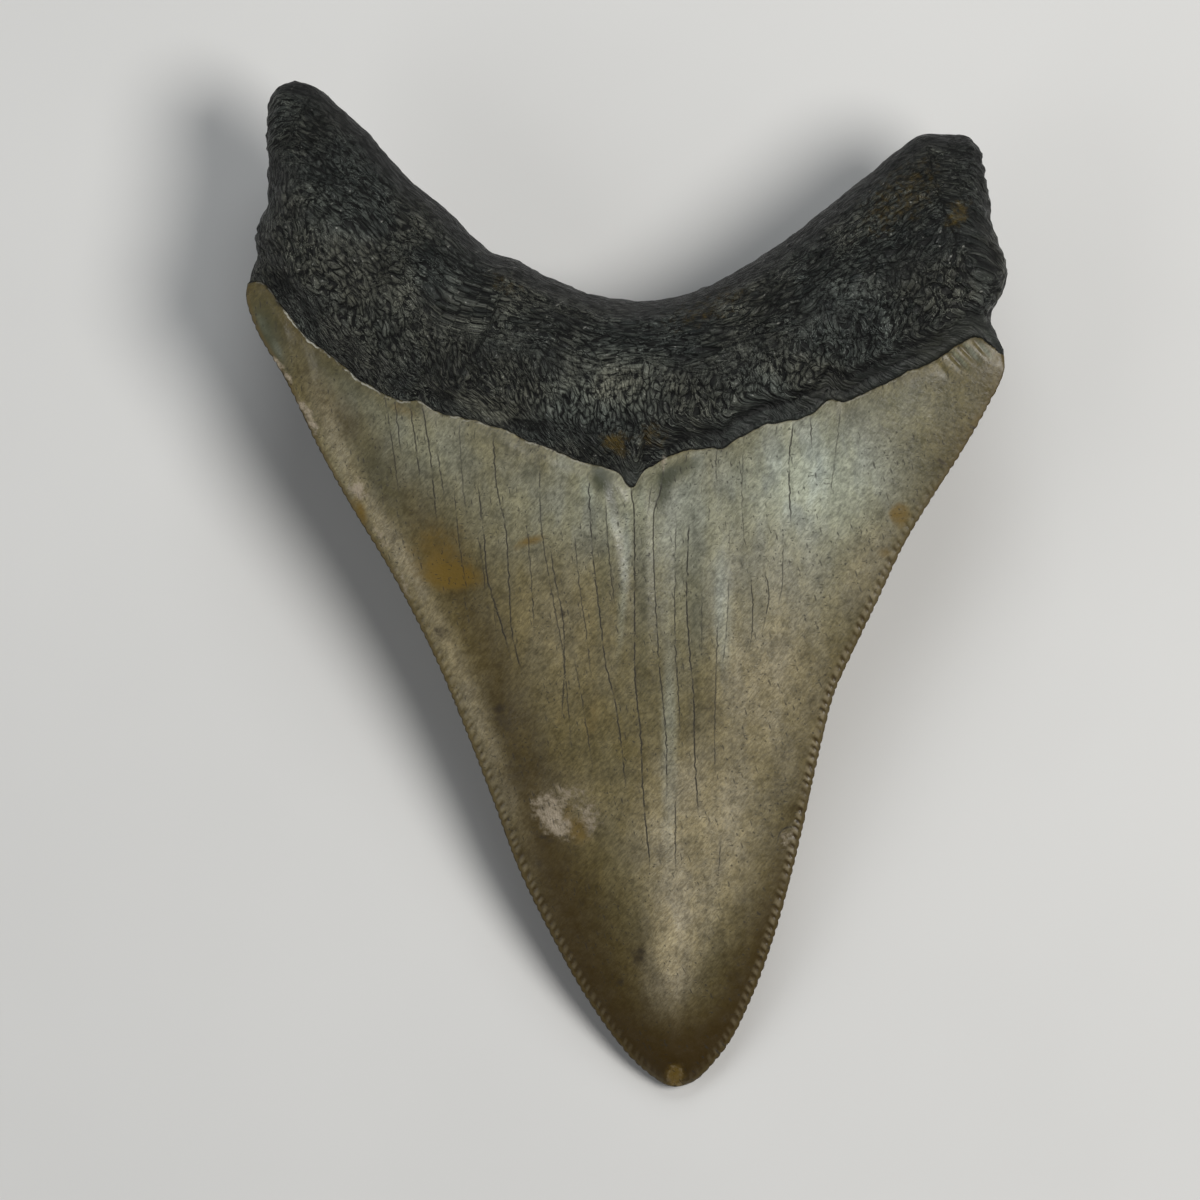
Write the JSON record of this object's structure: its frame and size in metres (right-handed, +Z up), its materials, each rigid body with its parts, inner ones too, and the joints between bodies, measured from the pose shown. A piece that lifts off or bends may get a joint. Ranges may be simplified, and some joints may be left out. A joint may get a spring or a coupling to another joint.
{
  "type": "fossil shark tooth",
  "caption": "Triangular fossil tooth of a very large shark, with a two-lobed root, a flat labial face, a domed lingual face and finely serrated cutting edges.",
  "frame": {"origin": "on the surface that the tooth lies on, under the centre of its box", "axes": "+Y from the crown's tip to the root, along the tooth's length; +Z up, out of the labial face; +X to the right when the labial face is seen from above with the root at the top"},
  "size_m": [0.0759, 0.1008, 0.0209],
  "materials": {
    "fossil_tooth": "phosphate-mineralised tooth: satin grey-olive enamel with brown edges, and a rough charcoal root"
  },
  "bodies": {
    "root": {"tooth": "fossil_tooth"}
  },
  "joints": []
}
